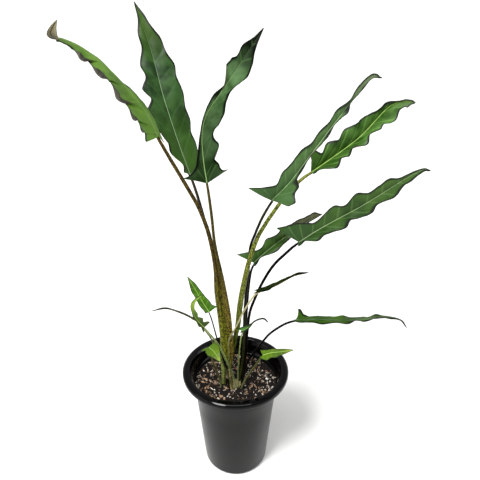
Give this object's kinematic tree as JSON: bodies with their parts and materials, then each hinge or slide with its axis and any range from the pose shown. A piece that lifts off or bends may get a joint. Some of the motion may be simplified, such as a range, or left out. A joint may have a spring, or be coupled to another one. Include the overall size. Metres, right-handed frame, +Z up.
{
  "type": "potted alocasia lauterbachiana",
  "caption": "Potted aroid house plant with upright arrow-shaped wavy leaves on long stalks, in a plain black nursery pot.",
  "frame": {"origin": "centre of the pot's underside, where it rests", "axes": "+Z up the plant from the pot's base, -Y towards a viewer in front"},
  "size_m": [0.4466, 0.2337, 0.6954],
  "materials": {
    "pot_plastic": "satin black moulded plastic",
    "potting_mix": "damp peat with bark chips and perlite",
    "corm_skin": "dull tan skin",
    "leaf_blade": "satin waxy leaf",
    "leaf_stalk": "satin mottled stalk"
  },
  "bodies": {
    "root": {"pot": "pot_plastic", "soil": "potting_mix", "corm": "corm_skin", "petiole_01": "leaf_stalk", "petiole_02": "leaf_stalk", "petiole_03": "leaf_stalk", "petiole_04": "leaf_stalk", "petiole_05": "leaf_stalk", "petiole_06": "leaf_stalk", "petiole_07": "leaf_stalk", "petiole_08": "leaf_stalk", "petiole_09": "leaf_stalk", "petiole_10": "leaf_stalk", "petiole_11": "leaf_stalk", "petiole_12": "leaf_stalk", "petiole_13": "leaf_stalk", "petiole_14": "leaf_stalk", "petiole_15": "leaf_stalk", "blade_01": "leaf_blade", "blade_02": "leaf_blade", "blade_03": "leaf_blade", "blade_04": "leaf_blade", "blade_05": "leaf_blade", "blade_06": "leaf_blade", "blade_07": "leaf_blade", "blade_08": "leaf_blade", "blade_09": "leaf_blade", "blade_10": "leaf_blade", "blade_11": "leaf_blade", "blade_12": "leaf_blade", "blade_13": "leaf_blade", "blade_14": "leaf_blade", "blade_15": "leaf_blade"}
  },
  "joints": []
}
